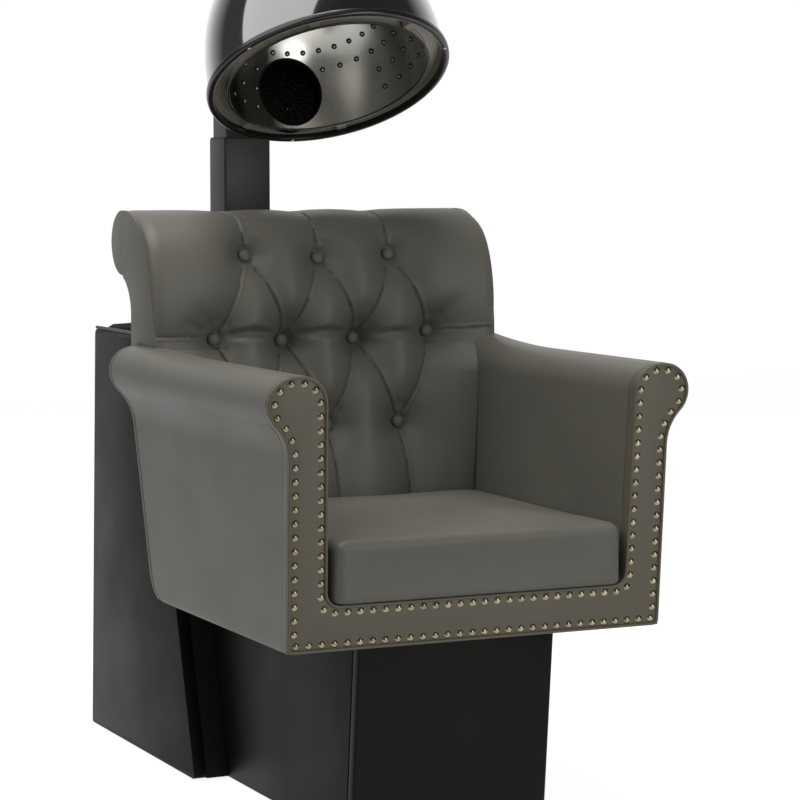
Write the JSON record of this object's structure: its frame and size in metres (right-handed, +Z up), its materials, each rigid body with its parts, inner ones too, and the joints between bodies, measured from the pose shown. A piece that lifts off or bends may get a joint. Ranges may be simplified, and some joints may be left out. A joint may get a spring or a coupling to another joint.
{
  "type": "hooded dryer chair",
  "caption": "Salon dryer chair: tufted armchair on an upholstered pedestal and cabinet, with a telescoping mast that carries a tilting dryer hood.",
  "frame": {"origin": "middle of the footprint on the floor", "axes": "+X across the seat to the left of a person who sits in it, which is the right in the picture; +Y from the front of the seat to the cabinet at the rear; +Z up"},
  "size_m": [0.684, 1.1369, 1.3972],
  "materials": {
    "vinyl_taupe": "semi-matte",
    "vinyl_black": "semi-matte",
    "piping_black": "satin",
    "nail_brass": "aged",
    "deck_cloth": "woven",
    "plywood": "raw",
    "timber": "raw",
    "spring_steel": "plain",
    "nylon_white": "matte",
    "paint_dark": "satin",
    "screw_steel": "plated",
    "plastic_black": "matte",
    "hood_black": "gloss",
    "rim_black": "satin",
    "trough_grey": "satin",
    "bowl_grey": "metallic gloss",
    "nozzle_dark": "satin",
    "heater_wire": "bare",
    "motor_zinc": "plated",
    "fan_grey": "matte",
    "knob_ivory": "satin"
  },
  "bodies": {
    "chair": {"floor_glides": "nylon_white", "base_board": "plywood", "cabinet_sides": "vinyl_black", "cabinet_front_panel": "vinyl_black", "cabinet_top_panel": "vinyl_black", "cabinet_rear_panel": "vinyl_black", "rear_panel_screws": "screw_steel", "cabinet_piping": "piping_black", "power_inlet": "plastic_black", "pedestal_sides": "vinyl_black", "pedestal_cap": "vinyl_black", "pedestal_front_panel": "vinyl_black", "seat_platform": "plywood", "seat_rails": "timber", "seat_springs": "spring_steel", "seat_deck": "deck_cloth", "left_arm": "vinyl_taupe", "right_arm": "vinyl_taupe", "front_facing": "vinyl_taupe", "facing_welt": "vinyl_taupe", "facing_nails": "nail_brass", "seat_cushion": "vinyl_taupe", "back_board": "plywood", "back_pad": "vinyl_taupe", "back_outer": "vinyl_taupe", "back_end_caps": "vinyl_taupe", "back_buttons": "vinyl_taupe", "mast_foot": "paint_dark", "foot_bolts": "screw_steel", "mast_sleeve": "paint_dark", "sleeve_guide": "plastic_black"},
    "mast": {"mast_post": "paint_dark", "post_slider": "nylon_white", "mast_head": "paint_dark"},
    "mast_clamp": {"post_knob": "plastic_black"},
    "hood": {"tilt_pin": "screw_steel", "hinge_ears": "paint_dark", "tilt_knob": "plastic_black", "rear_housing": "hood_black", "housing_cover": "plastic_black", "hood_dome": "hood_black", "hood_rim": "rim_black", "trough_ring": "trough_grey", "inner_bowl": "bowl_grey", "air_nozzles": "nozzle_dark", "rim_clips": "trough_grey", "rim_screws": "screw_steel", "intake_collar": "plastic_black", "intake_grille": "plastic_black", "heater_element": "heater_wire", "fan_motor": "motor_zinc", "fan_shroud": "plastic_black"},
    "fan": {"fan_impeller": "fan_grey"},
    "timer": {"timer_knob": "knob_ivory"},
    "heat": {"heat_knob": "knob_ivory"},
    "switch": {"power_switch": "plastic_black"}
  },
  "joints": [
    {"name": "mast_lift", "type": "slide", "parent": "chair", "child": "mast", "axis": [0, 0, 1], "range_m": [0, 0.26]},
    {"name": "clamp_turn", "type": "hinge", "parent": "chair", "child": "mast_clamp", "pos_m": [0, 0.48, 1.015], "axis": [0, 1, 0], "range_deg": [0, 350]},
    {"name": "hood_tilt", "type": "hinge", "parent": "mast", "child": "hood", "pos_m": [0, 0.35832, 1.16493], "axis": [1, 0, 0], "range_deg": [-15, 30]},
    {"name": "fan_spin", "type": "hinge", "parent": "hood", "child": "fan", "pos_m": [0, 0.24, 1.12737], "axis": [0, 1, 0], "continuous": true},
    {"name": "timer_turn", "type": "hinge", "parent": "hood", "child": "timer", "pos_m": [0.07, 0.23737, 1.15937], "axis": [1, 0, 0], "range_deg": [0, 300]},
    {"name": "heat_turn", "type": "hinge", "parent": "hood", "child": "heat", "pos_m": [0.07, 0.27537, 1.15937], "axis": [1, 0, 0], "range_deg": [0, 270]},
    {"name": "switch_rock", "type": "hinge", "parent": "hood", "child": "switch", "pos_m": [0.059, 0.25637, 1.13537], "axis": [0, 0, 1], "range_deg": [-10, 10]}
  ]
}
